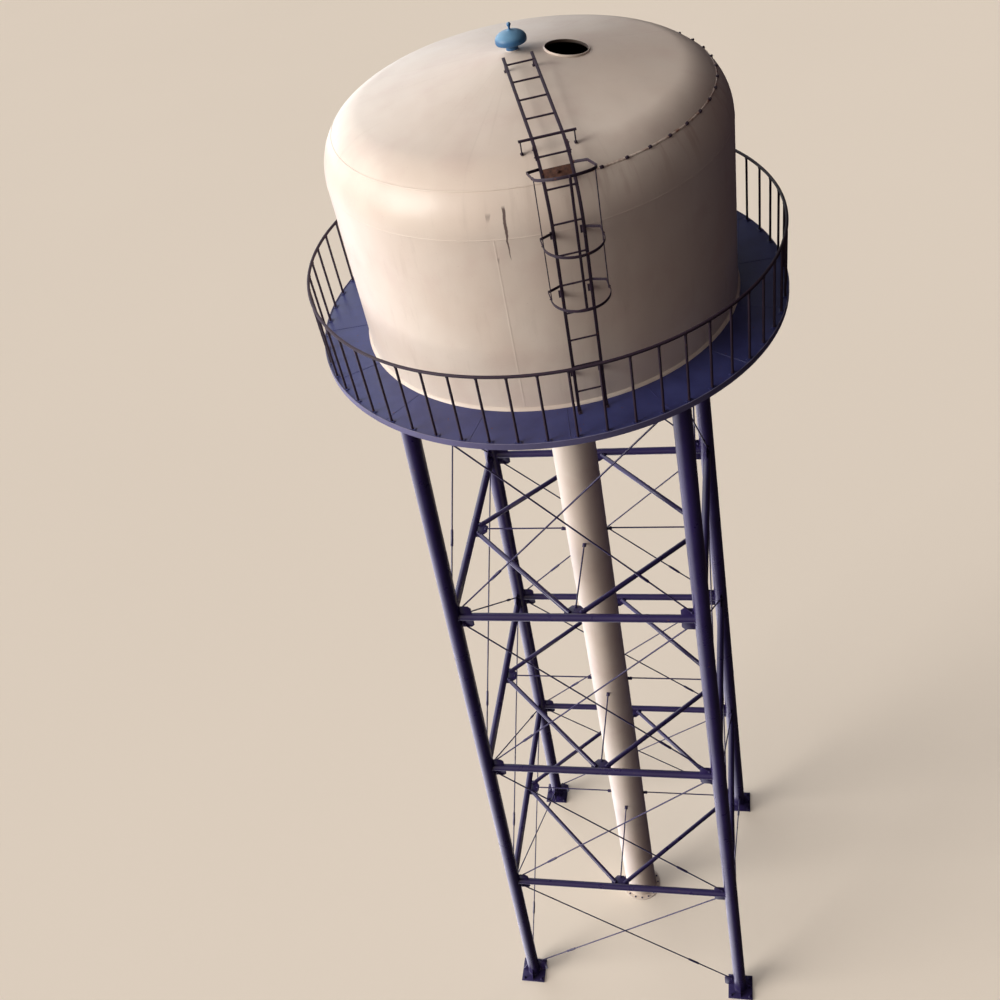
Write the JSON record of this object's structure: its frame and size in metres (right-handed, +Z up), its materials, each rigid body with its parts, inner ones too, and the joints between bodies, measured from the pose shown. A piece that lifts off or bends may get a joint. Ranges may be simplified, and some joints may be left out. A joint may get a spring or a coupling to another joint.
{
  "type": "elevated water tower",
  "caption": "Elevated steel water tower: domed tank with balcony, ladder and cage, on leaning tube columns with cross bracing and a central riser.",
  "frame": {"origin": "on the ground, at the middle of the four column feet, under the riser", "axes": "+Z up along the riser to the roof vent; -Y towards the front face, up which the ladder climbs a little right of the middle; +X to the right"},
  "size_m": [6.912, 6.912, 21.8859],
  "materials": {
    "cream_paint": "gloss cream tank paint, sun-faded, with light dirt streaks",
    "blue_paint": "violet-blue steel paint, satin, slightly chalked",
    "dark_paint": "dark blue-violet paint on rails and ladders, worn",
    "cap_paint": "bright blue paint, satin",
    "rusty_steel": "rusted brown steel plate"
  },
  "bodies": {
    "root": {"column_front_left": "blue_paint", "column_front_right": "blue_paint", "column_back_left": "blue_paint", "column_back_right": "blue_paint", "base_plate_front_left": "blue_paint", "base_plate_front_right": "blue_paint", "base_plate_back_left": "blue_paint", "base_plate_back_right": "blue_paint", "sway_rods_front": "blue_paint", "sway_rods_right": "blue_paint", "sway_rods_back": "blue_paint", "sway_rods_left": "blue_paint", "strut_front_1": "blue_paint", "strut_right_1": "blue_paint", "strut_back_1": "blue_paint", "strut_left_1": "blue_paint", "strut_front_2": "blue_paint", "strut_right_2": "blue_paint", "strut_back_2": "blue_paint", "strut_left_2": "blue_paint", "strut_front_3": "blue_paint", "strut_right_3": "blue_paint", "strut_back_3": "blue_paint", "strut_left_3": "blue_paint", "plan_bracing_1": "blue_paint", "plan_bracing_2": "blue_paint", "plan_bracing_3": "blue_paint", "riser_pipe": "cream_paint", "tank_bottom": "cream_paint", "tank_wall_front_left": "cream_paint", "tank_wall_front_right": "cream_paint", "tank_wall_back_right": "cream_paint", "tank_wall_back_left": "cream_paint", "tank_shoulder": "cream_paint", "roof": "cream_paint", "roof_vent": "cap_paint", "balcony_deck_front_left": "blue_paint", "balcony_deck_front_right": "blue_paint", "balcony_deck_back_right": "blue_paint", "balcony_deck_back_left": "blue_paint", "handrail_front_left": "dark_paint", "handrail_front_right": "dark_paint", "handrail_back_right": "dark_paint", "handrail_back_left": "dark_paint", "wall_ladder": "dark_paint", "roof_ladder": "dark_paint", "ladder_plate": "rusty_steel", "ladder_cage": "dark_paint"}
  },
  "joints": []
}
